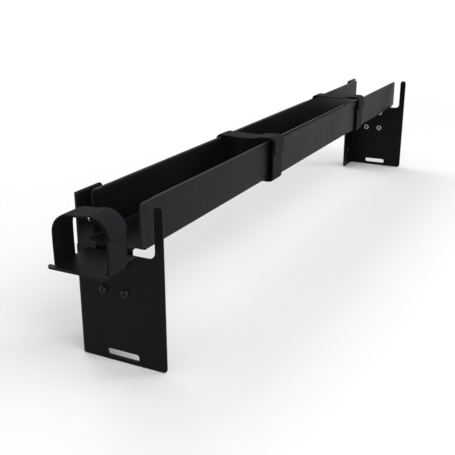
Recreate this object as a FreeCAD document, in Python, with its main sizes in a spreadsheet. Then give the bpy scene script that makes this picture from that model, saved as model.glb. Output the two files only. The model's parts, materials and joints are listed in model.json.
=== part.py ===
# Horizontal cable manager: a telescoping open trough that runs from a front post
# to a rear post beside a rack. Two face brackets bolt to the posts' sides, two
# hemmed steel channels slide one inside the other, two lock screws set the length,
# and three hook-and-loop straps hold the cables in.
#
# Build axes: X goes from the post's side outwards, Y from front to rear and Z up.
# Every piece is then moved so that the origin is the middle of the front bracket's
# two post holes, on the face that meets the post.
import FreeCAD, Part
import os
import Sketcher

doc = FreeCAD.newDocument("cable_manager")
sheet = doc.addObject("Spreadsheet::Sheet", "Dims")

sizes = [
    # Overall sizes, at the length the manager is shown in
    ("rest_length", 740.0),
    ("plate_width", 84.0),
    ("plate_height", 140.0),
    # Face brackets
    ("plate_thick", 2.0),
    ("bend_inner", 1.5),
    ("flange_depth", 40.0),
    ("arm_width", 8.0),
    ("notch_floor", 97.0),
    ("notch_radius", 6.0),
    ("corner_radius", 4.0),
    ("post_hole_dia", 6.6),
    ("post_hole_pitch", 88.9),
    ("post_hole_setback", 20.0),
    ("slot_wide", 31.0),
    ("slot_tall", 6.0),
    ("slot_lift", 4.0),
    # Forward tongue of the front bracket
    ("tongue_reach", 47.0),
    ("tongue_width", 46.0),
    ("tongue_lip", 4.0),
    ("tongue_lip_deep", 5.0),
    # Shares of a width or thickness that a rounding takes
    ("arm_round_share", 0.45),
    ("slot_round_share", 0.4),
    ("fold_round_share", 0.9),
    ("lip_round_share", 0.8),
    # Channels
    ("sheet_thick", 1.5),
    ("slide_gap", 0.3),
    ("hem_deep", 5.0),
    ("channel_left", 6.4),
    ("channel_width", 59.9),
    ("channel_bottom", 98.5),
    ("channel_height", 40.0),
    ("overlap_at_rest", 246.0),
    ("end_gap", 15.0),
    ("far_wall_setback", 14.0),
    ("wall_corner", 5.0),
    ("floor_setback", 7.0),
    # Folded end tabs and their screws
    ("tab_width", 35.0),
    ("tab_bottom", 56.0),
    ("screw_pitch_across", 21.0),
    ("screw_pitch_up", 25.0),
    ("screw_row_low", 63.0),
    ("screw_dia", 4.0),
    ("screw_head_dia", 7.6),
    ("screw_head_high", 2.2),
    ("screw_socket", 2.5),
    ("screw_hole_dia", 4.5),
    ("screw_spare", 1.5),
    ("screw_chamfer", 0.5),
    ("button_top_share", 0.3),
    ("button_rim_share", 0.3),
    ("socket_depth_share", 0.6),
    ("nut_rim_share", 0.62),
    ("nut_chamfer_share", 0.07),
    ("nut_across", 7.0),
    ("nut_thick", 3.2),
    ("thread_gap", 0.05),
    # Length lock
    ("lock_from_end", 45.0),
    ("lock_pitch", 25.0),
    ("lock_dia", 5.0),
    ("lock_clearance", 0.3),
    ("lock_head_dia", 11.0),
    ("lock_head_high", 2.2),
    ("lock_socket", 3.0),
    ("lock_slot_wide", 5.6),
    ("lock_slot_spare", 4.0),
    ("lock_nut_across", 8.0),
    ("lock_nut_thick", 4.0),
    ("lock_washer_dia", 12.0),
    ("lock_washer_thick", 1.0),
    ("extend_travel", 22.0),
    # Straps
    ("strap_wide", 25.0),
    ("strap_thick", 1.8),
    ("strap_gap", 0.3),
    ("strap_bend", 3.0),
    ("strap_tail", 16.0),
    ("middle_strap_lead", 6.0),
    ("rear_strap_setback", 209.0),
    ("entry_strap_reach", 40.0),
    ("entry_strap_high", 41.0),
    ("entry_strap_bend", 14.0),
    ("entry_strap_fold", 0.9),
    # How far a cut runs past the metal, and how deep a folded hem merges into its wall
    ("cut_spare", 1.0),
    ("merge", 0.01),
]
aliases = {alias for alias, _ in sizes}
for row, (alias, value) in enumerate(sizes, start=1):
    sheet.set("A%d" % row, alias.replace("_", " "))
    sheet.set("B%d" % row, str(value))
    sheet.setAlias("B%d" % row, alias)
doc.recompute()

# One helper object works out expressions on the sheet, for first placing and edge finding
probe = doc.addObject("App::FeaturePython", "Probe")
probe.addProperty("App::PropertyFloat", "Value")

FRONT = "front"
REAR = "rear"
X_AXIS = 0
Y_AXIS = 1
Z_AXIS = 2
FULL_TURN = 360.0
HALF_TURN = 180.0
QUARTER_TURN = 90.0
NEAR = 1e-3


def dims(words):
    """Turn 'a + b' written with aliases into an expression on the sheet."""
    named = [("Dims." + word if word in aliases else word) for word in words.split()]
    return " ".join(named)


def inward(end, words):
    """A place along Y measured from the outer face of one end's plate, inwards."""
    if end == FRONT:
        return words
    return "rest_length - ( " + words + " )"


# Heights and widths that several pieces share, in sheet words
INNER_LEFT = "channel_left + sheet_thick + slide_gap"
INNER_RIGHT = "channel_left + channel_width - sheet_thick - slide_gap"
INNER_BOTTOM = "channel_bottom + sheet_thick + slide_gap"
OUTER_LEFT = "channel_left"
OUTER_RIGHT = "channel_left + channel_width"
OUTER_BOTTOM = "channel_bottom"
OUTER_TOP = "channel_bottom + channel_height"
INNER_TOP = "channel_bottom + channel_height + sheet_thick"
CHANNEL_MIDDLE = "channel_left + channel_width / 2"
INNER_END = "( rest_length + overlap_at_rest ) / 2"
OUTER_START = "( rest_length - overlap_at_rest ) / 2"
COLLAPSE = "( rest_length - overlap_at_rest ) / 2 - end_gap"


def number(words):
    """The present value of an expression in sheet words."""
    probe.setExpression("Value", dims(words))
    probe.recompute()
    return float(probe.Value)


def new_body(label):
    """An empty body, placed so that the front post holes' middle is the origin."""
    body = doc.addObject("PartDesign::Body", label)
    body.Label = label
    body.setExpression("Placement.Base.y", dims("0 - post_hole_setback"))
    body.setExpression("Placement.Base.z", dims("0 - plate_height / 2"))
    return body


def new_sketch(body, name, role, shift=None):
    """A sketch on one of the body's own origin planes, moved along its normal."""
    plane = next(f for f in body.Origin.OriginFeatures if f.Role == role)
    sketch = body.newObject("Sketcher::SketchObject", name)
    sketch.AttachmentSupport = [(plane, "")]
    sketch.MapMode = "FlatFace"
    if shift is not None:
        sketch.setExpression("AttachmentOffset.Base.z", dims(shift))
    return sketch


def pin_point(sketch, geometry, point, across, up):
    """Dimension one point of a sketch from the sketch's origin, both ways."""
    for kind, words in (("DistanceX", across), ("DistanceY", up)):
        index = sketch.addConstraint(Sketcher.Constraint(kind, -1, 1, geometry, point, number(words)))
        sketch.setExpression("Constraints[%d]" % index, dims(words))


def draw_outline(sketch, corners):
    """A closed outline of straight lines through corners given in sheet words."""
    places = [FreeCAD.Vector(number(across), number(up), 0) for across, up in corners]
    first = sketch.GeometryCount
    count = len(corners)
    for i in range(count):
        sketch.addGeometry(Part.LineSegment(places[i], places[(i + 1) % count]), False)
    for i in range(count):
        sketch.addConstraint(Sketcher.Constraint("Coincident", first + i, 2, first + (i + 1) % count, 1))
    for i, (across, up) in enumerate(corners):
        pin_point(sketch, first + i, 1, across, up)


def draw_box(sketch, left, right, low, high):
    """A rectangle with its four sides in sheet words."""
    draw_outline(sketch, [(left, low), (right, low), (right, high), (left, high)])


def draw_circle(sketch, across, up, diameter):
    """A circle with its middle and diameter in sheet words."""
    middle = FreeCAD.Vector(number(across), number(up), 0)
    radius = number(diameter) / 2
    index = sketch.addGeometry(Part.Circle(middle, FreeCAD.Vector(0, 0, 1), radius), False)
    pin_point(sketch, index, 3, across, up)
    ring = sketch.addConstraint(Sketcher.Constraint("Diameter", index, number(diameter)))
    sketch.setExpression("Constraints[%d]" % ring, dims(diameter))


def pad(body, sketch, length, reverse=False):
    """Extrude a sketch along its plane's normal, or against it."""
    feature = body.newObject("PartDesign::Pad", sketch.Name + "_pad")
    feature.Profile = sketch
    feature.setExpression("Length", dims(length))
    feature.Reversed = reverse
    doc.recompute()
    return feature


def cut_through(body, sketch):
    """Cut a sketch's shape through everything, on both sides of its plane."""
    feature = body.newObject("PartDesign::Pocket", sketch.Name + "_cut")
    feature.Profile = sketch
    feature.Type = 1
    feature.Midplane = True
    doc.recompute()
    return feature


def cut_depth(body, sketch, length, reverse=False):
    """Cut a sketch's shape to a stated depth, away from its plane's normal."""
    feature = body.newObject("PartDesign::Pocket", sketch.Name + "_cut")
    feature.Profile = sketch
    feature.Type = 0
    feature.setExpression("Length", dims(length))
    feature.Reversed = reverse
    doc.recompute()
    return feature


def round_edges(body, name, direction, places, radius):
    """Fillet the straight edges along one axis that pass through the given places."""
    base = body.Tip
    others = [axis for axis in (X_AXIS, Y_AXIS, Z_AXIS) if axis != direction]
    targets = [(number(one), number(two)) for one, two in places]
    found = []
    for i, edge in enumerate(base.Shape.Edges, start=1):
        start = edge.Vertexes[0].Point
        finish = edge.Vertexes[-1].Point
        if max(abs(start[axis] - finish[axis]) for axis in others) > NEAR:
            continue
        for one, two in targets:
            if abs(start[others[0]] - one) < NEAR and abs(start[others[1]] - two) < NEAR:
                found.append("Edge%d" % i)
    feature = body.newObject("PartDesign::Fillet", name)
    feature.Base = (base, found)
    feature.setExpression("Radius", dims(radius))
    doc.recompute()
    return feature


def screw_places():
    """The four screw middles on a plate, as (column, row, across, up) in sheet words."""
    for column, sign in (("left", "-"), ("right", "+")):
        across = CHANNEL_MIDDLE + " " + sign + " screw_pitch_across / 2"
        yield column, "lower", across, "screw_row_low"
        yield column, "upper", across, "screw_row_low + screw_pitch_up"


def face_bracket(end):
    """A folded plate: notched face across the channel, flange along the post."""
    body = new_body(end + "_bracket")

    plan = new_sketch(body, end + "_plan", "XY_Plane")
    draw_outline(plan, [
        ("0", inward(end, "0")),
        ("plate_width", inward(end, "0")),
        ("plate_width", inward(end, "plate_thick")),
        ("plate_thick", inward(end, "plate_thick")),
        ("plate_thick", inward(end, "flange_depth")),
        ("0", inward(end, "flange_depth")),
    ])
    pad(body, plan, "plate_height")
    round_edges(body, end + "_outer_bend", Z_AXIS, [("0", inward(end, "0"))], "bend_inner + plate_thick")
    round_edges(body, end + "_inner_bend", Z_AXIS,
                [("plate_thick", inward(end, "plate_thick"))], "bend_inner")

    notch = new_sketch(body, end + "_notch", "XZ_Plane")
    draw_box(notch, "plate_thick + bend_inner", "plate_width - arm_width",
             "notch_floor", "plate_height + cut_spare")
    cut_through(body, notch)
    relief = new_sketch(body, end + "_bend_relief", "XY_Plane", "plate_height")
    draw_box(relief, "0 - cut_spare", "plate_thick + bend_inner + merge",
             inward(end, "0 - cut_spare"), inward(end, "plate_thick + bend_inner"))
    cut_depth(body, relief, "plate_height - notch_floor")

    round_edges(body, end + "_notch_round", Y_AXIS, [("plate_width - arm_width", "notch_floor")],
                "notch_radius")
    round_edges(body, end + "_plate_corner", Y_AXIS, [("plate_width", "0")], "corner_radius")
    round_edges(body, end + "_arm_corner", Y_AXIS,
                [("plate_width", "plate_height"), ("plate_width - arm_width", "plate_height")],
                "arm_width * arm_round_share")
    round_edges(body, end + "_flange_corner", X_AXIS,
                [(inward(end, "flange_depth"), "0"), (inward(end, "flange_depth"), "plate_height")],
                "corner_radius")

    slot = new_sketch(body, end + "_strap_slot", "XZ_Plane")
    draw_box(slot, "plate_width / 2 - slot_wide / 2", "plate_width / 2 + slot_wide / 2",
             "slot_lift", "slot_lift + slot_tall")
    cut_through(body, slot)
    slot_sides = ["plate_width / 2 - slot_wide / 2", "plate_width / 2 + slot_wide / 2"]
    round_edges(body, end + "_slot_round", Y_AXIS,
                [(side, level) for side in slot_sides for level in ("slot_lift", "slot_lift + slot_tall")],
                "slot_tall * slot_round_share")

    holes = new_sketch(body, end + "_tab_holes", "XZ_Plane")
    for _, _, across, up in screw_places():
        draw_circle(holes, across, up, "screw_hole_dia")
    cut_through(body, holes)

    post_holes = new_sketch(body, end + "_post_holes", "YZ_Plane")
    for sign in ("-", "+"):
        draw_circle(post_holes, inward(end, "post_hole_setback"),
                    "plate_height / 2 " + sign + " post_hole_pitch / 2", "post_hole_dia")
    cut_through(body, post_holes)
    return body


def add_tongue(body):
    """Fold a T-ended tongue forward from the notch's floor, for the entry strap."""
    middle = CHANNEL_MIDDLE
    neck = "tongue_width / 2"
    head = "tongue_width / 2 + tongue_lip"
    plan = new_sketch(body, "tongue_plan", "XY_Plane", "notch_floor - plate_thick")
    draw_outline(plan, [
        (middle + " - " + neck, "plate_thick"),
        (middle + " - " + neck, "tongue_lip_deep - tongue_reach"),
        (middle + " - ( " + head + " )", "tongue_lip_deep - tongue_reach"),
        (middle + " - ( " + head + " )", "0 - tongue_reach"),
        (middle + " + " + head, "0 - tongue_reach"),
        (middle + " + " + head, "tongue_lip_deep - tongue_reach"),
        (middle + " + " + neck, "tongue_lip_deep - tongue_reach"),
        (middle + " + " + neck, "plate_thick"),
    ])
    pad(body, plan, "plate_thick")
    round_edges(body, "tongue_inner_bend", X_AXIS, [("0", "notch_floor - plate_thick")], "bend_inner")
    round_edges(body, "tongue_outer_bend", X_AXIS, [("plate_thick", "notch_floor")],
                "plate_thick * fold_round_share")
    round_edges(body, "tongue_tip", Z_AXIS,
                [(middle + " - ( " + head + " )", "0 - tongue_reach"),
                 (middle + " + " + head, "0 - tongue_reach")], "tongue_lip_deep * lip_round_share")


def hemmed_channel(label, end, left, right, bottom, top, start, finish, hem_inside):
    """A U trough of one folded sheet with hemmed rims and a tab folded down at one end."""
    body = new_body(label)

    section = new_sketch(body, label + "_section", "XZ_Plane", "0 - ( " + start + " )")
    draw_outline(section, [
        (left, bottom),
        (right, bottom),
        (right, top),
        (right + " - sheet_thick", top),
        (right + " - sheet_thick", bottom + " + sheet_thick"),
        (left + " + sheet_thick", bottom + " + sheet_thick"),
        (left + " + sheet_thick", top),
        (left, top),
    ])
    pad(body, section, finish + " - ( " + start + " )", reverse=True)
    round_edges(body, label + "_outer_bends", Y_AXIS, [(left, bottom), (right, bottom)],
                "bend_inner + sheet_thick")
    round_edges(body, label + "_inner_bends", Y_AXIS,
                [(left + " + sheet_thick", bottom + " + sheet_thick"),
                 (right + " - sheet_thick", bottom + " + sheet_thick")], "bend_inner")

    # The floor stops short of the plate, beside the tab that folds down onto it
    bend_top = bottom + " + sheet_thick + bend_inner"
    floor_cut = new_sketch(body, label + "_floor_end", "YZ_Plane")
    draw_outline(floor_cut, [
        (inward(end, "0 - cut_spare"), bottom + " - cut_spare"),
        (inward(end, "floor_setback"), bottom + " - cut_spare"),
        (inward(end, "floor_setback"), bend_top),
        (inward(end, "0 - cut_spare"), bend_top),
    ])
    cut_through(body, floor_cut)
    far_cut = new_sketch(body, label + "_far_wall_end", "YZ_Plane")
    draw_outline(far_cut, [
        (inward(end, "0 - cut_spare"), bend_top + " - merge"),
        (inward(end, "far_wall_setback"), bend_top + " - merge"),
        (inward(end, "far_wall_setback"), top + " + cut_spare"),
        (inward(end, "0 - cut_spare"), top + " + cut_spare"),
    ])
    cut_depth(body, far_cut, CHANNEL_MIDDLE, reverse=True)
    tips = [inward(end, "0"), inward(end, "far_wall_setback"), finish if end == FRONT else start]
    round_edges(body, label + "_wall_corners", X_AXIS, [(tip, top) for tip in tips], "wall_corner")

    # The rims are folded flat on the walls, between the rounded corners
    inset = "wall_corner + far_wall_setback"
    hem_start = start + " + " + (inset if end == FRONT else "wall_corner")
    hem_finish = finish + " - ( " + ("wall_corner" if end == FRONT else inset) + " )"
    hem = new_sketch(body, label + "_hems", "XZ_Plane", "0 - ( " + hem_start + " )")
    if hem_inside:
        edges = [(left + " + sheet_thick - merge", left + " + sheet_thick * 2"),
                 (right + " - sheet_thick * 2", right + " - sheet_thick + merge")]
    else:
        edges = [(left + " - sheet_thick", left + " + merge"),
                 (right + " - merge", right + " + sheet_thick")]
    for one, two in edges:
        draw_box(hem, one, two, top + " - hem_deep", top)
    pad(body, hem, hem_finish + " - ( " + hem_start + " )", reverse=True)
    free_sides = [edges[0][1], edges[1][0]] if hem_inside else [edges[0][0], edges[1][1]]
    round_edges(body, label + "_hem_round", Y_AXIS, [(side, top) for side in free_sides],
                "sheet_thick * fold_round_share")

    # The end tab folds down from the floor and lies on the plate's inner face
    tab = new_sketch(body, label + "_tab", "YZ_Plane", CHANNEL_MIDDLE + " - tab_width / 2")
    draw_outline(tab, [
        (inward(end, "floor_setback + cut_spare"), bottom + " + sheet_thick"),
        (inward(end, "plate_thick"), bottom + " + sheet_thick"),
        (inward(end, "plate_thick"), "tab_bottom"),
        (inward(end, "plate_thick + sheet_thick"), "tab_bottom"),
        (inward(end, "plate_thick + sheet_thick"), bottom),
        (inward(end, "floor_setback + cut_spare"), bottom),
    ])
    pad(body, tab, "tab_width")
    round_edges(body, label + "_tab_outer_bend", X_AXIS,
                [(inward(end, "plate_thick"), bottom + " + sheet_thick")], "bend_inner + sheet_thick")
    round_edges(body, label + "_tab_inner_bend", X_AXIS,
                [(inward(end, "plate_thick + sheet_thick"), bottom)], "bend_inner")
    round_edges(body, label + "_tab_corners", Y_AXIS,
                [(CHANNEL_MIDDLE + " - tab_width / 2", "tab_bottom"),
                 (CHANNEL_MIDDLE + " + tab_width / 2", "tab_bottom")], "corner_radius")
    holes = new_sketch(body, label + "_tab_holes", "XZ_Plane")
    for _, _, across, up in screw_places():
        draw_circle(holes, across, up, "screw_hole_dia")
    cut_through(body, holes)
    return body


def lock_place(which):
    """Where a lock screw stands along Y: which is 0 or 1."""
    return OUTER_START + " + lock_from_end + lock_pitch * %d" % which


def front_channel():
    """The inner channel, slotted along its floor for the lock screws."""
    body = hemmed_channel("front_channel", FRONT, INNER_LEFT, INNER_RIGHT, INNER_BOTTOM, INNER_TOP,
                          "0", INNER_END, hem_inside=True)
    first = lock_place(0) + " - ( " + COLLAPSE + " ) - lock_slot_spare"
    last = lock_place(1) + " + extend_travel + lock_slot_spare"
    slot = new_sketch(body, "lock_slot", "XY_Plane")
    draw_box(slot, CHANNEL_MIDDLE + " - lock_slot_wide / 2", CHANNEL_MIDDLE + " + lock_slot_wide / 2",
             first, last)
    cut_through(body, slot)
    ends = new_sketch(body, "lock_slot_ends", "XY_Plane")
    draw_circle(ends, CHANNEL_MIDDLE, first, "lock_slot_wide")
    draw_circle(ends, CHANNEL_MIDDLE, last, "lock_slot_wide")
    cut_through(body, ends)
    return body


def rear_channel():
    """The outer channel, drilled through its floor for the lock screws."""
    body = hemmed_channel("rear_channel", REAR, OUTER_LEFT, OUTER_RIGHT, OUTER_BOTTOM, OUTER_TOP,
                          OUTER_START, "rest_length", hem_inside=False)
    holes = new_sketch(body, "lock_holes", "XY_Plane")
    for which in (0, 1):
        draw_circle(holes, CHANNEL_MIDDLE, lock_place(which), "lock_dia + lock_clearance")
    cut_through(body, holes)
    return body


def button_screw(label, diameter, head_dia, head_high, socket, length):
    """A button-head screw along local +Y, with its head on the -Y side."""
    body = doc.addObject("PartDesign::Body", label)
    body.Label = label
    half = new_sketch(body, label + "_half", "XY_Plane")
    shank = diameter + " / 2 - thread_gap"
    draw_outline(half, [
        ("0", "0 - " + head_high),
        (head_dia + " * button_top_share", "0 - " + head_high),
        (head_dia + " / 2", "0 - " + head_high + " * button_rim_share"),
        (head_dia + " / 2", "0"),
        (shank, "0"),
        (shank, length + " - screw_chamfer"),
        (shank + " - screw_chamfer", length),
        ("0", length),
    ])
    turn = body.newObject("PartDesign::Revolution", label + "_turn")
    turn.Profile = half
    turn.ReferenceAxis = (half, ["V_Axis"])
    turn.Angle = FULL_TURN
    doc.recompute()
    # The hexagon socket is sunk from the top of the head
    key = new_sketch(body, label + "_key", "XZ_Plane", head_high)
    draw_hexagon(key, socket)
    cut_depth(body, key, head_high + " * socket_depth_share")
    return body


def draw_hexagon(sketch, across_flats):
    """A hexagon about the sketch's origin, by its width across flats."""
    corner = across_flats + " / sqrt(3)"
    half = across_flats + " / sqrt(12)"
    flat = across_flats + " / 2"
    draw_outline(sketch, [
        (corner, "0"), (half, flat), ("0 - " + half, flat),
        ("0 - " + corner, "0"), ("0 - " + half, "0 - " + flat), (half, "0 - " + flat),
    ])


def hexagon_nut(label, diameter, across, thick):
    """A hexagon nut along local +Y, chamfered where it faces away from its seat."""
    body = doc.addObject("PartDesign::Body", label)
    body.Label = label
    blank = new_sketch(body, label + "_blank", "XZ_Plane")
    draw_hexagon(blank, across)
    draw_circle(blank, "0", "0", diameter)
    pad(body, blank, thick, reverse=True)
    edge = new_sketch(body, label + "_edge", "XY_Plane")
    draw_outline(edge, [
        (across + " / 2", thick),
        (across + " * nut_rim_share", thick),
        (across + " * nut_rim_share", thick + " - " + across + " * nut_chamfer_share"),
    ])
    turn = body.newObject("PartDesign::Groove", label + "_chamfer")
    turn.Profile = edge
    turn.ReferenceAxis = (edge, ["V_Axis"])
    turn.Angle = FULL_TURN
    doc.recompute()
    return body


def washer(label, bore, outside, thick):
    """A flat washer along local +Y."""
    body = doc.addObject("PartDesign::Body", label)
    body.Label = label
    ring = new_sketch(body, label + "_ring", "XZ_Plane")
    draw_circle(ring, "0", "0", outside)
    draw_circle(ring, "0", "0", bore)
    pad(body, ring, thick, reverse=True)
    return body


def place(body, across, along, up, axis, angle):
    """Stand a fastener at a place in the build axes, turned about one axis."""
    body.Placement = FreeCAD.Placement(FreeCAD.Vector(0, 0, 0), FreeCAD.Rotation(axis, angle))
    body.setExpression("Placement.Base.x", dims(across))
    body.setExpression("Placement.Base.y", dims(along + " - post_hole_setback"))
    body.setExpression("Placement.Base.z", dims(up + " - plate_height / 2"))


def tab_fasteners(end):
    """Four screws through plate and tab at one end, each with its nut."""
    upright = FreeCAD.Vector(0, 0, 1)
    turn = 0 if end == FRONT else HALF_TURN
    grip = "plate_thick + sheet_thick"
    for column, row, across, up in screw_places():
        name = "_".join((end, row, column))
        screw = button_screw(name + "_screw", "screw_dia", "screw_head_dia", "screw_head_high",
                             "screw_socket", grip + " + nut_thick + screw_spare")
        place(screw, across, inward(end, "0"), up, upright, turn)
        nut = hexagon_nut(name + "_nut", "screw_dia", "nut_across", "nut_thick")
        place(nut, across, inward(end, grip), up, upright, turn)


def lock_fasteners():
    """Two screws from the trough's floor, each with a washer and a nut below."""
    sideways = FreeCAD.Vector(1, 0, 0)
    head_seat = INNER_BOTTOM + " + sheet_thick + slide_gap"
    length = "( sheet_thick + slide_gap ) * 2 + lock_washer_thick + lock_nut_thick + screw_spare"
    for which in (0, 1):
        along = lock_place(which)
        tag = "_%d" % (which + 1)
        screw = button_screw("lock_screw" + tag, "lock_dia", "lock_head_dia", "lock_head_high",
                             "lock_socket", length)
        place(screw, CHANNEL_MIDDLE, along, head_seat, sideways, -QUARTER_TURN)
        ring = washer("lock_washer" + tag, "lock_dia + lock_clearance", "lock_washer_dia",
                      "lock_washer_thick")
        place(ring, CHANNEL_MIDDLE, along, OUTER_BOTTOM, sideways, -QUARTER_TURN)
        nut = hexagon_nut("lock_nut" + tag, "lock_dia", "lock_nut_across", "lock_nut_thick")
        place(nut, CHANNEL_MIDDLE, along, OUTER_BOTTOM + " - lock_washer_thick", sideways,
              -QUARTER_TURN)


def strap(label, start, left, right, low, high, low_bend, high_bend):
    """A closed loop of flat strap with its free end lapped over the outer side."""
    body = new_body(label)
    loop = new_sketch(body, label + "_loop", "XZ_Plane", "0 - ( " + start + " )")
    out_left = left + " - strap_thick"
    out_right = right + " + strap_thick"
    out_low = low + " - strap_thick"
    out_high = high + " + strap_thick"
    tail_end = high + " - strap_tail"
    tail_start = right + " - strap_tail"
    draw_outline(loop, [
        (out_left, out_low),
        (out_right, out_low),
        (out_right, tail_end),
        (out_right + " + strap_thick", tail_end),
        (out_right + " + strap_thick", out_high + " + strap_thick"),
        (tail_start, out_high + " + strap_thick"),
        (tail_start, out_high),
        (out_left, out_high),
    ])
    draw_box(loop, left, right, low, high)
    pad(body, loop, "strap_wide", reverse=True)
    turns = (("low", low, out_low, low_bend), ("high", high, out_high, high_bend))
    for name, level, out_level, bend in turns:
        round_edges(body, label + "_inner_" + name, Y_AXIS, [(left, level), (right, level)], bend)
        round_edges(body, label + "_outer_" + name, Y_AXIS,
                    [(out_left, out_level), (out_right, out_level)], bend + " + strap_thick")
    round_edges(body, label + "_tail_bend", Y_AXIS,
                [(out_right + " + strap_thick", out_high + " + strap_thick")],
                high_bend + " + strap_thick * 2")
    return body


def straps():
    """Two straps around the outer channel and one around the front tongue."""
    rim = "( sheet_thick + strap_gap )"
    for label, start in (("middle_strap", OUTER_START + " - middle_strap_lead"),
                         ("rear_strap", "rest_length - rear_strap_setback")):
        strap(label, start, OUTER_LEFT + " - " + rim, OUTER_RIGHT + " + " + rim,
              OUTER_BOTTOM + " - strap_gap", INNER_TOP + " + strap_gap", "strap_bend", "strap_bend")
    strap("entry_strap", "0 - entry_strap_reach",
          CHANNEL_MIDDLE + " - tongue_width / 2 - strap_gap",
          CHANNEL_MIDDLE + " + tongue_width / 2 + strap_gap",
          "notch_floor - plate_thick - strap_gap",
          "notch_floor + entry_strap_high - strap_thick", "entry_strap_fold", "entry_strap_bend")


def export_all():
    """Check every sub-part and write each one to its own file."""
    doc.removeObject(probe.Name)
    doc.recompute()
    os.makedirs("parts", exist_ok=True)
    for item in doc.Objects:
        bad = [state for state in item.State if state in ("Invalid", "Error")]
        if bad:
            raise RuntimeError("%s is %s" % (item.Label, bad))
    for body in doc.findObjects("PartDesign::Body"):
        shape = body.Shape
        if shape.isNull() or not shape.isValid() or not shape.Solids:
            raise RuntimeError("%s has no valid solid" % body.Label)
        shape.exportStep("parts/%s.step" % body.Label)


add_tongue(face_bracket(FRONT))
face_bracket(REAR)
front_channel()
rear_channel()
tab_fasteners(FRONT)
tab_fasteners(REAR)
lock_fasteners()
straps()
export_all()
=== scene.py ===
import json
import math

import bmesh
import bpy
import numpy as np
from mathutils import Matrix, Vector


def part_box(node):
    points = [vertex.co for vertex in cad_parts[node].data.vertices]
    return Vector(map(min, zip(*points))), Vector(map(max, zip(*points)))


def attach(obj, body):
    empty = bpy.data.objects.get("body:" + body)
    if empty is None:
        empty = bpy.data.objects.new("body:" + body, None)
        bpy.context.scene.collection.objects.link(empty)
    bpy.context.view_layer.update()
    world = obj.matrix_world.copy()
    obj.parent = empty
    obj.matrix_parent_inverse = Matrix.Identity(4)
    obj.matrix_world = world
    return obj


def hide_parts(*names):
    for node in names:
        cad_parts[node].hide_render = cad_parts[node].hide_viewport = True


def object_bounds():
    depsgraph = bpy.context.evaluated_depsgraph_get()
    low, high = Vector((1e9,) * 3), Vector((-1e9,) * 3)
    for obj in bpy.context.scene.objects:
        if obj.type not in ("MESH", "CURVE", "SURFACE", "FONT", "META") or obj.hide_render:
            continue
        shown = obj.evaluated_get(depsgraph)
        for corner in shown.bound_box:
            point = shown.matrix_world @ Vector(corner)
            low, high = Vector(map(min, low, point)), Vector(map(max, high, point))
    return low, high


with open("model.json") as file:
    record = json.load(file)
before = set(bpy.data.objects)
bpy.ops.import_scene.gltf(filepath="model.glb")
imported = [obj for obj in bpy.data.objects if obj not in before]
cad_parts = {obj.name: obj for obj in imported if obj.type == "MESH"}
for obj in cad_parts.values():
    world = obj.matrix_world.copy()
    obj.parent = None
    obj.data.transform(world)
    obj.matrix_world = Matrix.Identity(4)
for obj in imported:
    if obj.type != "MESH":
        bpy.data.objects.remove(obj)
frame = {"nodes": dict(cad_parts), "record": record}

cad_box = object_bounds()
nodes = frame["nodes"]
body_of_node = {node: body for body, members in frame["record"]["behaviour"]["bodies"].items()
                for node in members}


# ---------------------------------------------------------------------------
# Folded steel: two face brackets and two hemmed channels.
# Sheet steel is cut and folded, its cut edges are tumbled smooth, then it is
# dusted with black polyester powder and baked to a satin skin.
# ---------------------------------------------------------------------------

def colour(hex_code):
    """An sRGB hex value as linear red, green and blue with full alpha."""
    channels = [int(hex_code[i:i + 2], 16) / 255 for i in (1, 3, 5)]
    linear = [c / 12.92 if c <= 0.04045 else ((c + 0.055) / 1.055) ** 2.4 for c in channels]
    return (*linear, 1.0)


def add(material, kind, settings=None, inputs=None):
    """One node in a material's tree, with its settings and its input values or links."""
    node = material.node_tree.nodes.new(kind)
    for name, value in (settings or {}).items():
        setattr(node, name, value)
    for key, value in (inputs or {}).items():
        if isinstance(value, bpy.types.NodeSocket):
            material.node_tree.links.new(value, node.inputs[key])
        else:
            node.inputs[key].default_value = value
    return node


def new_material(name):
    """A node material that holds nothing but its output."""
    material = bpy.data.materials.new(name)
    material.use_nodes = True
    material.node_tree.nodes.clear()
    return material


def finish_material(material, shader):
    """Send a shader to the material's output."""
    add(material, "ShaderNodeOutputMaterial", inputs={"Surface": shader.outputs[0]})
    return material


def two_tone(material, factor, low, high, dark, light):
    """A ramp that goes from a dark to a light hex colour between two factor values."""
    ramp = add(material, "ShaderNodeValToRGB", inputs={"Fac": factor})
    for element, position, hex_code in zip(ramp.color_ramp.elements, (low, high), (dark, light)):
        element.position = position
        element.color = colour(hex_code)
    return ramp.outputs["Color"]


def worn_and_highlit_edges(material, place, reach):
    """How much the coat is rubbed at each point, and so painted a lighter grey that is partly wear
    and partly a painted highlight on the rims. It grows as the true normal turns away from a
    normal rounded over the reach, from nought at 8 degrees to full at 32, and patches 4 mm across
    break it up."""
    patch_width = 0.004
    rounded = add(material, "ShaderNodeBevel", {"samples": 6}, {"Radius": reach}).outputs["Normal"]
    true = add(material, "ShaderNodeNewGeometry").outputs["Normal"]
    agree = add(material, "ShaderNodeVectorMath", {"operation": "DOT_PRODUCT"},
                {0: rounded, 1: true}).outputs["Value"]
    edge = add(material, "ShaderNodeMapRange",
               inputs={"Value": agree, "From Min": 0.99, "From Max": 0.85}).outputs["Result"]
    patches = add(material, "ShaderNodeTexNoise",
                  inputs={"Vector": place, "Scale": 1 / patch_width, "Detail": 4.0,
                          "Roughness": 0.7}).outputs["Fac"]
    rubbed = add(material, "ShaderNodeMapRange",
                 inputs={"Value": patches, "From Min": 0.35, "From Max": 0.65,
                         "To Min": 0.25}).outputs["Result"]
    return add(material, "ShaderNodeMath", {"operation": "MULTIPLY"},
               {0: edge, 1: rubbed}).outputs[0]


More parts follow.
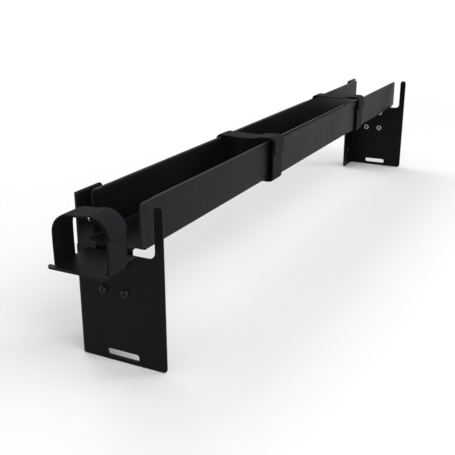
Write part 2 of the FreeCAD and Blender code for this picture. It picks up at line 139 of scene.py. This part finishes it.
def powder_coat():
    """Black satin powder coat: a fine orange peel 1.6 mm across breaks up its soft
    highlights, the powder lies a shade thicker and duller in broad clouds, and along its edges the
    colour turns a dull grey, partly burnished by handling and partly a painted highlight on the
    rims.
    The grit in the powder is drawn half a millimetre across, several times its real size, so that
    it shows."""
    peel_width = 0.0016
    peel_height = 0.00025
    grit_width = 0.0005
    cloud_width = 0.08
    rubbed_width = 0.0007
    deep_black = "#060708"
    dusty_black = "#101112"
    # The edge grey stands partly for rubbed wear and partly for a painted highlight on the rims.
    rubbed_grey_edge_highlight = "#4a4b4c"
    material = new_material("black_satin_powder_coat")
    place = add(material, "ShaderNodeTexCoord").outputs["Object"]
    peel = add(material, "ShaderNodeTexNoise",
               inputs={"Vector": place, "Scale": 1 / peel_width, "Detail": 3.0,
                       "Roughness": 0.55}).outputs["Fac"]
    grit = add(material, "ShaderNodeTexNoise",
               inputs={"Vector": place, "Scale": 1 / grit_width, "Detail": 2.0}).outputs["Fac"]
    cloud = add(material, "ShaderNodeTexNoise",
                inputs={"Vector": place, "Scale": 1 / cloud_width, "Detail": 4.0,
                        "Roughness": 0.6}).outputs["Fac"]
    height = add(material, "ShaderNodeMath", {"operation": "MULTIPLY_ADD"},
                 {0: grit, 1: 0.5, 2: peel}).outputs[0]
    bump = add(material, "ShaderNodeBump",
               inputs={"Strength": 0.6, "Distance": peel_height, "Height": height})
    tone = add(material, "ShaderNodeMath", {"operation": "MULTIPLY_ADD"},
               {0: grit, 1: 0.3, 2: cloud}).outputs[0]
    skin = two_tone(material, tone, 0.45, 0.9, deep_black, dusty_black)
    # Edge grey: partly rubbed wear, partly a painted highlight on the rims.
    edge_wear_and_highlight = worn_and_highlit_edges(material, place, rubbed_width)
    blend = add(material, "ShaderNodeMix", {"data_type": "RGBA"},
                {"Factor": edge_wear_and_highlight, 6: skin, 7: colour(rubbed_grey_edge_highlight)}).outputs[2]
    gloss = add(material, "ShaderNodeMapRange",
                inputs={"Value": cloud, "From Min": 0.3, "From Max": 0.7,
                        "To Min": 0.4, "To Max": 0.5})
    shader = add(material, "ShaderNodeBsdfPrincipled",
                 inputs={"Base Color": blend, "Roughness": gloss.outputs["Result"],
                         "Normal": bump.outputs["Normal"], "IOR": 1.5, "Specular IOR Level": 0.08})
    return finish_material(material, shader)


def eased_copy(node, ease):
    """A copy of a folded-sheet node: its loose triangles welded, its flat faces made whole,
    every edge sharper than 35 degrees rounded by the ease, and the specks that rounding
    leaves in tight corners closed again."""
    weld = 0.000002
    flat_within = math.radians(0.05)
    sharp = math.radians(35)
    speck = 0.00001
    mesh = nodes[node].data.copy()
    mesh.name = node + "_coated"
    work = bmesh.new()
    work.from_mesh(mesh)
    bmesh.ops.remove_doubles(work, verts=work.verts, dist=weld)
    bmesh.ops.dissolve_limit(work, angle_limit=flat_within, verts=work.verts, edges=work.edges)
    work.to_mesh(mesh)
    work.free()
    mesh.polygons.foreach_set("use_smooth", [True] * len(mesh.polygons))
    piece = bpy.data.objects.new(node + "_coated", mesh)
    bpy.context.collection.objects.link(piece)
    bevel = piece.modifiers.new("eased_edges", "BEVEL")
    bevel.width = ease
    bevel.segments = 2
    bevel.limit_method = "ANGLE"
    bevel.angle_limit = sharp
    bevel.use_clamp_overlap = False
    close = piece.modifiers.new("specks_closed", "WELD")
    close.merge_threshold = speck
    level = piece.modifiers.new("flat_faces_stay_flat", "WEIGHTED_NORMAL")
    level.mode = "FACE_AREA"
    level.weight = 100
    return piece


def fit(piece, node, material):
    """Give a finished piece its material, and let it stand for a CAD node on that node's body."""
    piece.data.materials.clear()
    piece.data.materials.append(material)
    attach(piece, body_of_node[node])
    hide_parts(node)


edge_ease = 0.00014
coat = powder_coat()
for sheet_node in ("front_bracket", "rear_bracket", "front_channel", "rear_channel"):
    fit(eased_copy(sheet_node, edge_ease), sheet_node, coat)


# ---------------------------------------------------------------------------
# Button-head screws: eight through the end tabs and two that lock the length.
# Cold-headed and thread-rolled steel with a hexagon socket, blackened in oil
# so that the heads vanish against the coat.
# ---------------------------------------------------------------------------

def closed_surface(name, rows, ends_meet=False):
    """A mesh from a grid of points, rows by columns, whose columns run round and close.
    The first and last rows shrink to one point each, or meet each other round a ring."""
    count, around = rows.shape[:2]
    body_rows = rows if ends_meet else rows[1:-1]
    points = body_rows.reshape(-1, 3)
    index = np.arange(len(points)).reshape(len(body_rows), around)
    below = index if ends_meet else index[:-1]
    above = np.roll(index, -1, axis=0) if ends_meet else index[1:]
    right = np.roll(below, -1, axis=1)
    squares = np.stack([below, right, np.roll(above, -1, axis=1), above], axis=-1)
    faces = squares.reshape(-1, 4).tolist()
    if not ends_meet:
        first = len(points)
        points = np.vstack([points, rows[0].mean(axis=0), rows[-1].mean(axis=0)])
        start = index[0]
        finish = index[-1]
        last = first + 1
        faces += np.stack([np.full(around, first), np.roll(start, -1), start], axis=-1).tolist()
        faces += np.stack([finish, np.roll(finish, -1), np.full(around, last)], axis=-1).tolist()
    mesh = bpy.data.meshes.new(name)
    mesh.from_pydata(points.tolist(), [], faces)
    work = bmesh.new()
    work.from_mesh(mesh)
    bmesh.ops.recalc_face_normals(work, faces=work.faces)
    work.to_mesh(mesh)
    work.free()
    mesh.polygons.foreach_set("use_smooth", [True] * len(mesh.polygons))
    piece = bpy.data.objects.new(name, mesh)
    bpy.context.collection.objects.link(piece)
    return piece


def hexagon(angle, across_flats):
    """How far a hexagon's side lies from its middle at each angle: half the width across
    flats over the cosine of the angle to the nearest flat's middle."""
    to_flat = (angle + math.pi / 6) % (math.pi / 3) - math.pi / 6
    return across_flats / 2 / np.cos(to_flat)


def thread(along, angle, outer, pitch, depth):
    """A rolled thread's radius: the outer radius less a triangle wave that climbs one
    pitch in each turn."""
    phase = (along / pitch - angle / (2 * math.pi)) % 1.0
    return outer - depth * np.abs(2 * phase - 1)


def turned(origin, axis, along, radius, angle):
    """Points on rings round an axis: origin, plus each ring's distance along the axis,
    plus its radius turned to each angle."""
    axis = np.array(axis, float)
    side = np.array([0.0, 0.0, 1.0]) if abs(axis[2]) < 0.5 else np.array([1.0, 0.0, 0.0])
    other = np.cross(axis, side)
    spread = np.cos(angle)[..., None] * side + np.sin(angle)[..., None] * other
    return np.array(origin) + along[..., None] * axis + radius[..., None] * spread


def button_screw(name, node, axis, diameter, pitch, socket, plain):
    """A screw from the socket's floor outwards: hexagon socket, domed head as a quarter
    ellipse, flat underside, plain neck, then a thread that ends in a chamfer."""
    # The head's height and the socket's depth, with the drill's cone at its foot and the
    # lip at its mouth.
    tall = 0.0022
    sink = tall * 0.6
    cone = 0.0003
    lip = 0.00015
    # The head's sharp brim, the fillet under it, the shank's play, and how much of the
    # head is a flat crown.
    brim = 0.0001
    fillet = 0.0003
    slack = 0.00005
    crown = 0.55
    low, high = [np.array(corner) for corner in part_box(node)]
    axis = np.array(axis, float)
    lengthwise = np.abs(axis) > 0.5
    head_top = np.where(lengthwise, np.where(axis > 0, low, high), (low + high) / 2)
    length = (high - low)[lengthwise][0]
    head = (high - low)[~lengthwise].min() / 2
    shank = diameter / 2 - slack
    columns = 48
    angle = np.linspace(0, 2 * math.pi, columns, endpoint=False)
    six = hexagon(angle, socket)
    ring = np.ones(columns)
    along = []
    radius = []

    def row(distance, reach):
        along.append(distance * ring)
        radius.append(reach * ring)

    row(sink + cone, 0.0)
    row(sink, six * 0.98)
    row(sink * 0.5, six)
    row(lip, six)
    row(0.0, six + lip)
    row(0.0, head * crown)
    for turn in np.linspace(0.15, 1.0, 8) * math.pi / 2:
        row((tall - fillet) * (1 - math.cos(turn)), head * (crown + (1 - crown) * math.sin(turn)))
    row(tall - brim, head)
    row(tall, head - brim)
    row(tall, shank + fillet)
    row(tall + fillet, shank)
    row(tall + plain, shank)
    depth = pitch * 0.45
    for distance in np.arange(tall + plain + pitch / 4, length - pitch / 2, pitch / 10):
        row(distance, thread(distance, angle, shank, pitch, depth))
    row(length - pitch / 2, shank - depth * 0.5)
    row(length, shank - depth * 1.3)
    row(length, 0.0)
    return closed_surface(name, turned(head_top, axis, np.array(along), np.array(radius), angle))


def black_oxide():
    """Oiled black oxide on steel: nearly black, with the metal's soft sheen under it and
    the oil's mottle 1.5 mm across."""
    mottle_width = 0.0015
    oily_black = "#1c1d1f"
    steel_black = "#28292b"
    material = new_material("oiled_black_oxide")
    place = add(material, "ShaderNodeTexCoord").outputs["Object"]
    mottle = add(material, "ShaderNodeTexNoise",
                 inputs={"Vector": place, "Scale": 1 / mottle_width, "Detail": 3.0}).outputs["Fac"]
    gloss = add(material, "ShaderNodeMapRange",
                inputs={"Value": mottle, "From Min": 0.3, "From Max": 0.7,
                        "To Min": 0.26, "To Max": 0.42})
    tint = two_tone(material, mottle, 0.3, 0.7, oily_black, steel_black)
    shader = add(material, "ShaderNodeBsdfPrincipled",
                 inputs={"Base Color": tint, "Metallic": 0.85,
                         "Roughness": gloss.outputs["Result"]})
    return finish_material(material, shader)


oxide = black_oxide()
ends = {"front": (0, 1, 0), "rear": (0, -1, 0)}
corners = [row + "_" + column for row in ("lower", "upper") for column in ("left", "right")]
for end, inwards in ends.items():
    for corner in corners:
        node = end + "_" + corner + "_screw"
        piece = button_screw(end + "_" + corner + "_button_screw", node, inwards,
                             diameter=0.004, pitch=0.0007, socket=0.0025, plain=0.003)
        fit(piece, node, oxide)
for number in ("1", "2"):
    node = "lock_screw_" + number
    piece = button_screw("lock_button_screw_" + number, node, (0, 0, -1),
                         diameter=0.005, pitch=0.0008, socket=0.003, plain=0.003)
    fit(piece, node, oxide)


# ---------------------------------------------------------------------------
# Hexagon nuts and flat washers behind the tabs and under the trough.
# Cold-formed steel, tapped, and tumbled in bright zinc: the only pale metal
# on the manager, seen as small glints.
# ---------------------------------------------------------------------------

def hexagon_nut(name, node, axis, diameter, pitch):
    """A nut as a ring: its outside is the smaller of a hexagon and two 30 degree cones,
    one from each face, and its bore is a thread with a countersink at each mouth."""
    cone_start = 0.475
    countersink = 0.0003
    low, high = [np.array(corner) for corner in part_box(node)]
    axis = np.array(axis, float)
    lengthwise = np.abs(axis) > 0.5
    seat = np.where(lengthwise, np.where(axis > 0, low, high), (low + high) / 2)
    thick = (high - low)[lengthwise][0]
    across = (high - low)[~lengthwise].min()
    columns = 72
    angle = np.linspace(0, 2 * math.pi, columns, endpoint=False)
    ring = np.ones(columns)
    shares = [np.linspace(0, 0.18, 7), np.linspace(0.3, 0.7, 4), np.linspace(0.82, 1, 7)]
    steps = np.concatenate(shares) * thick
    cone = cone_start * across + np.minimum(steps, thick - steps) * math.sqrt(3)
    outside = np.minimum(hexagon(angle, across)[None, :], cone[:, None])
    bore = diameter / 2
    inner_steps = np.linspace(0.94, 0.06, 30) * thick
    inside = thread(inner_steps[:, None], angle[None, :], bore + pitch * 0.25, pitch, pitch * 0.35)
    mouth = bore + countersink
    along = np.concatenate([steps[:, None] * ring, thick * ring[None],
                            inner_steps[:, None] * ring, 0 * ring[None]])
    radius = np.concatenate([outside, mouth * ring[None], inside, mouth * ring[None]])
    return closed_surface(name, turned(seat, axis, along, radius, angle), ends_meet=True)


def flat_washer(name, node, bore):
    """A stamped ring: a rectangle with rounded corners turned about the vertical."""
    low, high = [np.array(corner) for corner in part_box(node)]
    reach = (high - low)[0] / 2
    thick = (high - low)[2]
    round_off = 0.0002
    columns = 48
    turn = np.linspace(0, math.pi / 2, 4)
    curve = round_off * np.sin(turn)
    drop = round_off * (1 - np.cos(turn))
    outer = np.concatenate([reach - round_off + curve, (reach - round_off + curve)[::-1]])
    outer_height = np.concatenate([drop, thick - drop[::-1]])
    inner = np.concatenate([bore + round_off - curve, (bore + round_off - curve)[::-1]])
    radius = np.concatenate([outer, inner])
    height = np.concatenate([outer_height, outer_height[::-1]])
    angle = np.linspace(0, 2 * math.pi, columns, endpoint=False)
    ring = np.ones(columns)
    middle = np.array([(low[0] + high[0]) / 2, (low[1] + high[1]) / 2, low[2]])
    rows = turned(middle, (0, 0, 1), height[:, None] * ring, radius[:, None] * ring, angle)
    return closed_surface(name, rows, ends_meet=True)


def zinc_plate():
    """Bright zinc plate: pale blue-grey metal with the tumbling drum's soft mottle,
    1.8 mm across."""
    mottle_width = 0.0018
    dull_zinc = "#a4a9ad"
    fresh_zinc = "#cdd0cf"
    material = new_material("bright_zinc_plate")
    place = add(material, "ShaderNodeTexCoord").outputs["Object"]
    mottle = add(material, "ShaderNodeTexNoise",
                 inputs={"Vector": place, "Scale": 1 / mottle_width, "Detail": 4.0,
                         "Roughness": 0.6}).outputs["Fac"]
    gloss = add(material, "ShaderNodeMapRange",
                inputs={"Value": mottle, "From Min": 0.3, "From Max": 0.7,
                        "To Min": 0.22, "To Max": 0.38})
    tint = two_tone(material, mottle, 0.3, 0.7, dull_zinc, fresh_zinc)
    shader = add(material, "ShaderNodeBsdfPrincipled",
                 inputs={"Base Color": tint, "Metallic": 1.0,
                         "Roughness": gloss.outputs["Result"]})
    return finish_material(material, shader)


zinc = zinc_plate()
for end, inwards in ends.items():
    for corner in corners:
        node = end + "_" + corner + "_nut"
        piece = hexagon_nut(end + "_" + corner + "_hex_nut", node, inwards,
                            diameter=0.004, pitch=0.0007)
        fit(piece, node, zinc)
for number in ("1", "2"):
    nut_node = "lock_nut_" + number
    fit(hexagon_nut("lock_hex_nut_" + number, nut_node, (0, 0, -1), diameter=0.005, pitch=0.0008),
        nut_node, zinc)
    washer_node = "lock_washer_" + number
    fit(flat_washer("lock_flat_washer_" + number, washer_node, bore=0.00265),
        washer_node, zinc)


# ---------------------------------------------------------------------------
# Hook-and-loop straps: one round the tongue at the mouth and two round the
# trough. Black nylon tape with hooks inside and a brushed pile outside, wrapped
# once and pressed shut where its rounded end laps over itself.
# ---------------------------------------------------------------------------

# Each layer has 1.8 mm of room, and the tape with its pile fills 1.6 mm of it.
tape_room = 0.0018
tape_thick = 0.0016


def rounded_line(points, bends, step):
    """A line through corner points, each corner an arc of its own radius that touches
    both runs, sampled at an even step."""
    points = [np.array(p, float) for p in points]
    line = [points[0][None]]
    for before, corner, after, bend in zip(points, points[1:], points[2:], bends):
        come = (corner - before) / np.linalg.norm(corner - before)
        go = (after - corner) / np.linalg.norm(after - corner)
        half_turn = math.acos(np.clip(come @ go, -1, 1)) / 2
        back = bend * math.tan(half_turn)
        inwards = go - come * (come @ go)
        centre = corner - come * back + inwards / np.linalg.norm(inwards) * bend
        out = corner - come * back - centre
        sweep = np.linspace(0, 2 * half_turn, 17)[:, None]
        line.append(centre + np.cos(sweep) * out + np.sin(sweep) * bend * come)
    line.append(points[-1][None])
    line = np.concatenate(line)
    travelled = np.concatenate([[0], np.cumsum(np.linalg.norm(np.diff(line, axis=0), axis=1))])
    even = np.linspace(0, travelled[-1], int(travelled[-1] / step) + 1)
    return np.stack([np.interp(even, travelled, line[:, i]) for i in (0, 1)], axis=1), even


def soften(line, spread):
    """Average each point with its neighbours, so that stiff tape has no sudden kink."""
    kernel = np.hanning(2 * spread + 3)[1:-1]
    kernel /= kernel.sum()
    padded = np.concatenate([np.repeat(line[:1], spread, axis=0), line,
                             np.repeat(line[-1:], spread, axis=0)])
    return np.stack([np.convolve(padded[:, i], kernel, mode="valid") for i in (0, 1)], axis=1)


def wrapped_tape(name, node, lap, low_bend, high_bend, shape):
    """Flat tape carried along a loop that starts under its own lap. Across the tape the
    section is a flat with rounded selvedges; its half width shrinks to a circle at the end."""
    # The ramp that lifts the lap over the first layer, how far into the lap the first
    # layer starts and the ramp ends, the spacing of points along the loop, the rounding
    # of the tape's end, and the powers that shape its section.
    ramp = 0.009
    ramp_bend = 0.01
    layer_start = 0.002
    ramp_end = 0.001
    step = 0.0006
    tip = 0.007
    squareness = 0.28
    fullness = 0.75
    low, high = [np.array(corner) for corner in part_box(node)]
    half = tape_room / 2
    left = low[0] + half
    right = high[0] - tape_room - half
    bottom = low[2] + half
    top = high[2] - tape_room - half
    over = tape_room
    lap_start = right - lap
    points = [(lap_start + layer_start, top), (right, top), (right, bottom), (left, bottom),
              (left, top), (lap_start - ramp, top), (lap_start + ramp_end, top + over),
              (right + over, top + over), (right + over, top - lap)]
    bends = [high_bend + half, low_bend + half, low_bend + half, high_bend + half, ramp_bend,
             ramp_bend, high_bend + half + over]
    line, travelled = rounded_line(points, bends, step)
    line = soften(line, 3)
    line = shape(line, left, right, bottom, top)
    along = np.gradient(line, axis=0)
    along /= np.linalg.norm(along, axis=1)[:, None]
    outward = np.stack([-along[:, 1], along[:, 0]], axis=1)
    centre = line.mean(axis=0)
    if ((line - centre) * outward).sum() < 0:
        outward = -outward
    wide = (high - low)[1] / 2
    to_end = np.minimum(travelled[-1] - travelled, tip)
    half_wide = wide - tip + np.sqrt(np.maximum(tip ** 2 - (tip - to_end) ** 2, 0))
    turn = np.linspace(0, 2 * math.pi, 40, endpoint=False)
    flat = np.sign(np.cos(turn)) * np.abs(np.cos(turn)) ** squareness
    proud = np.sign(np.sin(turn)) * np.abs(np.sin(turn)) ** fullness
    across = half_wide[:, None] * flat
    lift = np.broadcast_to(tape_thick / 2 * proud, across.shape)
    middle = (low[1] + high[1]) / 2
    rows = np.empty((*across.shape, 3))
    rows[..., 0] = line[:, None, 0] + lift * outward[:, None, 0]
    rows[..., 1] = middle + across
    rows[..., 2] = line[:, None, 1] + lift * outward[:, None, 1]
    rows = np.concatenate([rows[:1], rows, rows[-1:]])
    piece = closed_surface(name, rows)
    give_tape_map(piece, travelled, across, lift)
    return piece


def give_tape_map(piece, travelled, across, lift):
    """Store where each point lies on the flat tape: metres along, metres across, and
    whether it is on the pile side."""
    count = len(piece.data.vertices)
    on_tape = np.zeros((count, 3))
    run = np.broadcast_to(travelled[:, None], across.shape)
    flat = np.stack([run, across, (lift > 0).astype(float)], axis=-1).reshape(-1, 3)
    on_tape[:len(flat)] = flat
    on_tape[-2:] = [flat[0], flat[-1]]
    attribute = piece.data.attributes.new("on_tape", "FLOAT_VECTOR", "POINT")
    attribute.data.foreach_set("vector", on_tape.ravel())


def taut(line, left, right, bottom, top):
    """Over the open trough the tape sags by 0.9 mm, as a half sine squared from rim to rim.
    Only points near the top move, by a share that falls to nought 4 mm below it."""
    sag = 0.0009
    across = np.clip((line[:, 0] - left) / (right - left), 0, 1)
    on_top = np.clip((line[:, 1] - (top - 0.004)) / 0.003, 0, 1)
    line[:, 1] -= sag * np.sin(math.pi * across) ** 2 * on_top
    return line


def arched(line, left, right, bottom, top):
    """Round the cords' place the tape bows out by 0.4 mm halfway up its sides, as a half
    sine from the bottom to the top."""
    bow = 0.0004
    up = np.clip((line[:, 1] - bottom) / (top - bottom), 0, 1)
    side = np.clip(np.abs(line[:, 0] - (left + right) / 2) / ((right - left) / 2), 0, 1)
    line[:, 0] += np.sign(line[:, 0] - (left + right) / 2) * bow * np.sin(math.pi * up) * side
    return line


def hook_and_loop_tape():
    """Outside, a brushed nylon pile of curled loops 0.9 mm across; inside, rows of moulded
    hooks 1.6 mm apart; and a flat ribbed selvedge 1.2 mm wide on both edges. The pile
    scatters light back with a faint grey bloom. The colour is darker down in the hollows between
    loops, hooks and ribs, as painted shade, and lighter on their tops. Loops and hooks are drawn
    about twice their real size, so that they show."""
    loop_width = 0.0009
    fuzz_width = 0.0006
    tuft_width = 0.005
    hook_spacing = 0.0016
    rib_spacing = 0.0011
    pile_edge = 0.0110
    selvedge_edge = 0.0115
    pile_height = 0.0007
    painted_shade_between_loops = "#030405"
    loop_tips = "#1b1d20"
    bloom = "#84888e"
    # At a scale of one, a wave texture's bands lie this far apart.
    wave_scale = math.pi / 10
    material = new_material("black_nylon_hook_and_loop_tape")
    tape = add(material, "ShaderNodeAttribute", {"attribute_name": "on_tape"}).outputs["Vector"]
    split = add(material, "ShaderNodeSeparateXYZ", inputs={"Vector": tape})
    flat = add(material, "ShaderNodeCombineXYZ",
               inputs={"X": split.outputs["X"], "Y": split.outputs["Y"]}).outputs["Vector"]
    loops = add(material, "ShaderNodeTexVoronoi", {"feature": "F1"},
                {"Vector": flat, "Scale": 1 / loop_width}).outputs["Distance"]
    fuzz = add(material, "ShaderNodeTexNoise",
               inputs={"Vector": flat, "Scale": 1 / fuzz_width, "Detail": 4.0,
                       "Roughness": 0.8}).outputs["Fac"]
    tufts = add(material, "ShaderNodeTexNoise",
                inputs={"Vector": flat, "Scale": 1 / tuft_width, "Detail": 3.0}).outputs["Fac"]
    pile = add(material, "ShaderNodeMath", {"operation": "MULTIPLY_ADD"},
               {0: loops, 1: 0.5, 2: fuzz}).outputs[0]
    pile = add(material, "ShaderNodeMath", {"operation": "MULTIPLY_ADD"},
               {0: tufts, 1: 0.5, 2: pile}).outputs[0]
    rows = [add(material, "ShaderNodeTexWave", {"bands_direction": way},
                {"Vector": flat, "Scale": wave_scale / hook_spacing}).outputs["Fac"]
            for way in ("X", "Y")]
    hooks = add(material, "ShaderNodeMath", {"operation": "MULTIPLY"},
                {0: rows[0], 1: rows[1]}).outputs[0]
    ribs = add(material, "ShaderNodeTexWave", {"bands_direction": "X"},
               {"Vector": flat, "Scale": wave_scale / rib_spacing}).outputs["Fac"]
    faces = add(material, "ShaderNodeMix", {"data_type": "FLOAT"},
                {"Factor": split.outputs["Z"], 2: hooks, 3: pile}).outputs[0]
    off_middle = add(material, "ShaderNodeMath", {"operation": "ABSOLUTE"},
                     {0: split.outputs["Y"]}).outputs[0]
    selvedge = add(material, "ShaderNodeMapRange",
                   inputs={"Value": off_middle, "From Min": pile_edge,
                           "From Max": selvedge_edge}).outputs["Result"]
    height = add(material, "ShaderNodeMix", {"data_type": "FLOAT"},
                 {"Factor": selvedge, 2: faces, 3: ribs}).outputs[0]
    bump = add(material, "ShaderNodeBump",
               inputs={"Strength": 1.0, "Distance": pile_height, "Height": height})
    # Painted shade: the colour follows the bump's height, darker down in the hollows between
    # loops, hooks and ribs and lighter on their tops.
    tint = two_tone(material, height, 0.7, 1.0, painted_shade_between_loops, loop_tips)
    shader = add(material, "ShaderNodeBsdfPrincipled",
                 inputs={"Base Color": tint, "Roughness": 0.9, "Normal": bump.outputs["Normal"],
                         "Specular IOR Level": 0.08, "Sheen Weight": 0.07,
                         "Sheen Roughness": 0.5, "Sheen Tint": colour(bloom)})
    return finish_material(material, shader)


strap_tape = hook_and_loop_tape()
for node, lap, low_bend, high_bend, shape in (("entry_strap", 0.016, 0.001, 0.014, arched),
                                              ("middle_strap", 0.016, 0.003, 0.003, taut),
                                              ("rear_strap", 0.016, 0.003, 0.003, taut)):
    fit(wrapped_tape(node + "_tape", node, lap, low_bend, high_bend, shape), node, strap_tape)


# ---------------------------------------------------------------------------
# Stage: a pale floor under the brackets' lower edges, a white surround,
# three soft lamps and the camera.
# ---------------------------------------------------------------------------

low, high = [np.array(corner) for corner in cad_box]
floor_level = low[2] - 0.0005
floor_half = 6.0
floor_corners = [(-floor_half, -floor_half, floor_level), (floor_half, -floor_half, floor_level),
                 (floor_half, floor_half, floor_level), (-floor_half, floor_half, floor_level)]
floor_mesh = bpy.data.meshes.new("floor")
floor_mesh.from_pydata(floor_corners, [], [(0, 1, 2, 3)])
floor = bpy.data.objects.new("floor", floor_mesh)
bpy.context.collection.objects.link(floor)


def seen(material_or_world):
    """One for rays from the camera, from gloss and through glass, and nought for the
    rays that light the object."""
    path = add(material_or_world, "ShaderNodeLightPath")
    direct = add(material_or_world, "ShaderNodeMath", {"operation": "MAXIMUM"},
                 {0: path.outputs["Is Camera Ray"], 1: path.outputs["Is Glossy Ray"]}).outputs[0]
    return add(material_or_world, "ShaderNodeMath", {"operation": "MAXIMUM"},
               {0: direct, 1: path.outputs["Is Transmission Ray"]}).outputs[0]


def seamless_floor(middle, half_size):
    """Pale matt paper that keeps the shadow and turns to the white of the surround with
    distance: the fade is the length of the offset from the middle over the half size.
    Its underside is clear, so that the object can be seen from below."""
    material = new_material("seamless_paper_floor")
    place = add(material, "ShaderNodeTexCoord").outputs["Object"]
    offset = add(material, "ShaderNodeVectorMath", {"operation": "SUBTRACT"},
                 {0: place, 1: (*middle[:2], floor_level)}).outputs["Vector"]
    share = add(material, "ShaderNodeVectorMath", {"operation": "DIVIDE"},
                {0: offset, 1: (*half_size, 1.0)}).outputs["Vector"]
    away = add(material, "ShaderNodeVectorMath", {"operation": "LENGTH"},
               {0: share}).outputs["Value"]
    fade = add(material, "ShaderNodeMapRange", {"interpolation_type": "SMOOTHSTEP"},
               {"Value": away, "From Min": 0.8, "From Max": 1.6}).outputs["Result"]
    white = add(material, "ShaderNodeMath", {"operation": "MULTIPLY"},
                {0: fade, 1: seen(material)}).outputs[0]
    paper = add(material, "ShaderNodeBsdfPrincipled",
                inputs={"Base Color": colour("#f6f6f5"), "Roughness": 0.9}).outputs[0]
    glow = add(material, "ShaderNodeEmission", inputs={"Color": colour("#ffffff")}).outputs[0]
    top = add(material, "ShaderNodeMixShader", inputs={0: white, 1: paper, 2: glow}).outputs[0]
    from_below = add(material, "ShaderNodeNewGeometry").outputs["Backfacing"]
    clear = add(material, "ShaderNodeBsdfTransparent").outputs[0]
    return finish_material(material, add(material, "ShaderNodeMixShader",
                                         inputs={0: from_below, 1: top, 2: clear}))


floor_mesh.materials.append(seamless_floor((low + high) / 2, (0.45, 0.75)))

world = bpy.data.worlds.new("studio")
bpy.context.scene.world = world
world.use_nodes = True
world.node_tree.nodes.clear()
strength = add(world, "ShaderNodeMapRange",
               inputs={"Value": seen(world), "To Min": 0.62, "To Max": 1.0})
surround = add(world, "ShaderNodeBackground",
               inputs={"Color": colour("#ffffff"), "Strength": strength.outputs["Result"]})
add(world, "ShaderNodeOutputWorld", inputs={"Surface": surround.outputs[0]})


def softbox(name, place, aim, width, height, watts):
    """A rectangular area lamp facing a point."""
    lamp = bpy.data.lights.new(name, "AREA")
    lamp.shape = "RECTANGLE"
    lamp.size = width
    lamp.size_y = height
    lamp.energy = watts
    holder = bpy.data.objects.new(name, lamp)
    bpy.context.collection.objects.link(holder)
    holder.location = place
    holder.rotation_euler = (Vector(aim) - Vector(place)).to_track_quat("-Z", "Y").to_euler()


middle = (low + high) / 2
softbox("key", (1.5, -0.7, 1.8), middle, width=1.4, height=1.4, watts=26)
softbox("side", (1.9, 1.4, 0.8), middle, width=1.0, height=1.6, watts=14)
softbox("rim", (-1.3, 0.9, 1.5), middle, width=1.0, height=1.0, watts=10)

lens = bpy.data.cameras.new("camera")
camera = bpy.data.objects.new("camera", lens)
bpy.context.collection.objects.link(camera)
bpy.context.scene.camera = camera
eye = Vector((0.359, -0.460, 0.235))
aim = Vector((0.053, 0.149, -0.003))
camera.location = eye
camera.rotation_euler = (aim - eye).to_track_quat("-Z", "Y").to_euler()
lens.sensor_width = 36
lens.lens = 58
lens.clip_start = 0.01

bpy.context.scene.view_settings.view_transform = "Standard"
